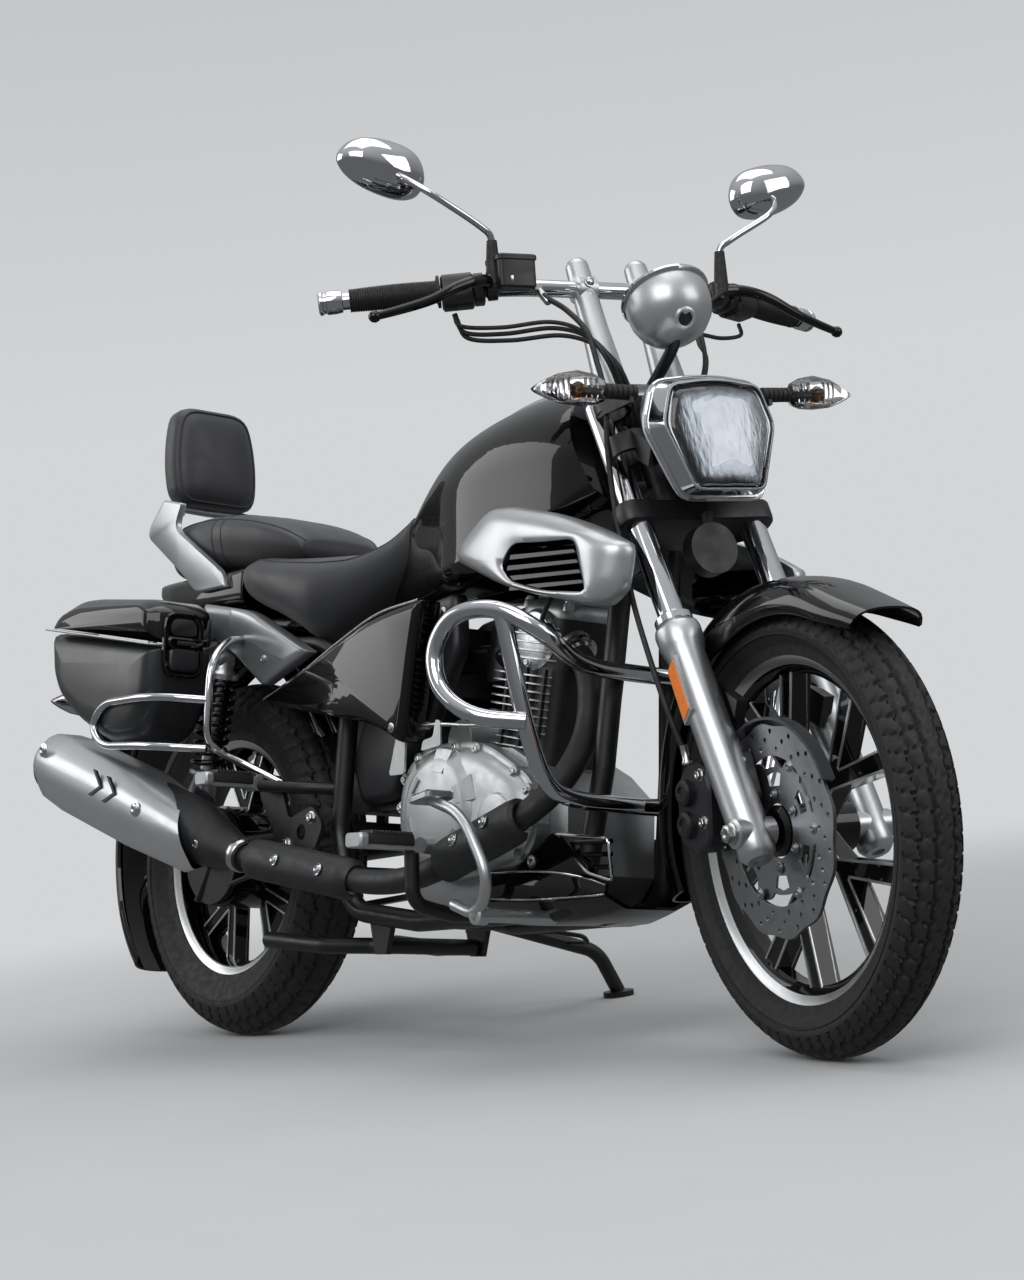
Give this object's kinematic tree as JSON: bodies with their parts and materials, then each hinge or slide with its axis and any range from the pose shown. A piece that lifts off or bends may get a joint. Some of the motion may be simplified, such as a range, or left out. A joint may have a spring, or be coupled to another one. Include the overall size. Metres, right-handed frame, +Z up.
{
  "type": "cruiser motorcycle",
  "caption": "Small cruiser motorcycle on its side stand, with hard panniers, passenger backrest and engine guards; wheels, steering, stands and pannier lids move.",
  "frame": {"origin": "centre of the parked motorcycle's bounding box, on the ground", "axes": "+X to the front, +Y to the rider's left, +Z up"},
  "size_m": [2.2094, 0.9146, 1.3734],
  "materials": {
    "gloss_black_paint": "gloss",
    "chrome_plate": "polished",
    "satin_silver_paint": "satin",
    "cast_alloy": "as cast",
    "machined_wheel": "black with machined edges",
    "tyre_rubber": "matt",
    "moulded_rubber": "matt",
    "black_steel": "satin",
    "heat_black": "matt",
    "seat_vinyl": "grained",
    "black_plastic": "moulded",
    "clear_lens": "clear",
    "brake_steel": "ground",
    "amber_lens": "clear amber",
    "red_lens": "clear red"
  },
  "bodies": {
    "steering": {"fork_yokes": "satin_silver_paint", "fork_tubes": "chrome_plate", "fork_sliders": "satin_silver_paint", "handlebar": "chrome_plate", "grips": "moulded_rubber", "bar_controls": "black_plastic", "hand_levers": "brake_steel", "mirrors": "chrome_plate", "headlight_shell": "satin_silver_paint", "headlight_bezel": "chrome_plate", "headlight_lens": "clear_lens", "gauge": "satin_silver_paint", "front_blinkers": "amber_lens", "front_fender": "gloss_black_paint", "fork_brackets": "black_steel", "front_caliper": "cast_alloy"},
    "front_wheel": {"front_tyre": "tyre_rubber", "front_wheel": "machined_wheel", "front_disc": "brake_steel"},
    "rear_wheel": {"rear_tyre": "tyre_rubber", "rear_wheel": "machined_wheel", "rear_sprocket": "brake_steel"},
    "side_stand": {"side_stand": "black_steel"},
    "centre_stand": {"centre_stand": "black_steel"},
    "pannier_lid_right": {"pannier_lid_right": "gloss_black_paint"},
    "pannier_lid_left": {"pannier_lid_left": "gloss_black_paint"},
    "root": {"frame": "black_steel", "crankcase": "cast_alloy", "engine_covers": "cast_alloy", "cylinder": "cast_alloy", "cylinder_head": "cast_alloy", "carburettor": "black_plastic", "exhaust_pipe": "heat_black", "muffler": "heat_black", "heat_shields": "satin_silver_paint", "tank": "gloss_black_paint", "tank_console": "chrome_plate", "rider_seat": "seat_vinyl", "tail_cowl": "black_plastic", "pillion_seat": "seat_vinyl", "backrest_bracket": "chrome_plate", "backrest": "seat_vinyl", "rear_fender": "gloss_black_paint", "tail_housing": "black_plastic", "tail_light": "red_lens", "rear_blinkers": "amber_lens", "swingarm": "black_steel", "shocks": "black_steel", "tail_panels": "satin_silver_paint", "side_covers": "gloss_black_paint", "tank_scoops": "satin_silver_paint", "chain": "brake_steel", "engine_guards": "chrome_plate", "belly_pan": "gloss_black_paint", "pannier_right": "gloss_black_paint", "pannier_left": "gloss_black_paint", "pannier_racks": "chrome_plate", "foot_pegs": "moulded_rubber", "foot_controls": "brake_steel"}
  },
  "joints": [
    {"name": "steering_turn", "type": "hinge", "parent": "root", "child": "steering", "pos_m": [0.49488, -0.03474, 0.80563], "axis": [-0.4303, 0.1622, 0.888], "range_deg": [-26.9, 53.1]},
    {"name": "front_wheel_spin", "type": "hinge", "parent": "steering", "child": "front_wheel", "pos_m": [0.8081, -0.14134, 0.3012], "axis": [0.2047, 0.9756, -0.079], "continuous": true},
    {"name": "rear_wheel_spin", "type": "hinge", "parent": "root", "child": "rear_wheel", "pos_m": [-0.60443, -0.12636, 0.30308], "axis": [0.0001, 0.9837, -0.1797], "continuous": true},
    {"name": "side_stand_fold", "type": "hinge", "parent": "root", "child": "side_stand", "pos_m": [-0.13432, -0.01376, 0.17414], "axis": [-0.0905, 0.5581, 0.8248], "range_deg": [0, 78.6]},
    {"name": "centre_stand_swing", "type": "hinge", "parent": "root", "child": "centre_stand", "pos_m": [-0.0643, -0.15457, 0.14909], "axis": [-0.0001, -0.9837, 0.1797], "range_deg": [0, 100], "stiffness_Nm_per_rad": 12, "springref_deg": -34.38},
    {"name": "right_lid_open", "type": "hinge", "parent": "root", "child": "pannier_lid_right", "pos_m": [-0.81478, -0.30384, 0.72262], "axis": [-0.0001, -0.9837, 0.1797], "range_deg": [0, 75]},
    {"name": "left_lid_open", "type": "hinge", "parent": "root", "child": "pannier_lid_left", "pos_m": [-0.8147, 0.18802, 0.63279], "axis": [-0.0001, -0.9837, 0.1797], "range_deg": [0, 75]}
  ]
}
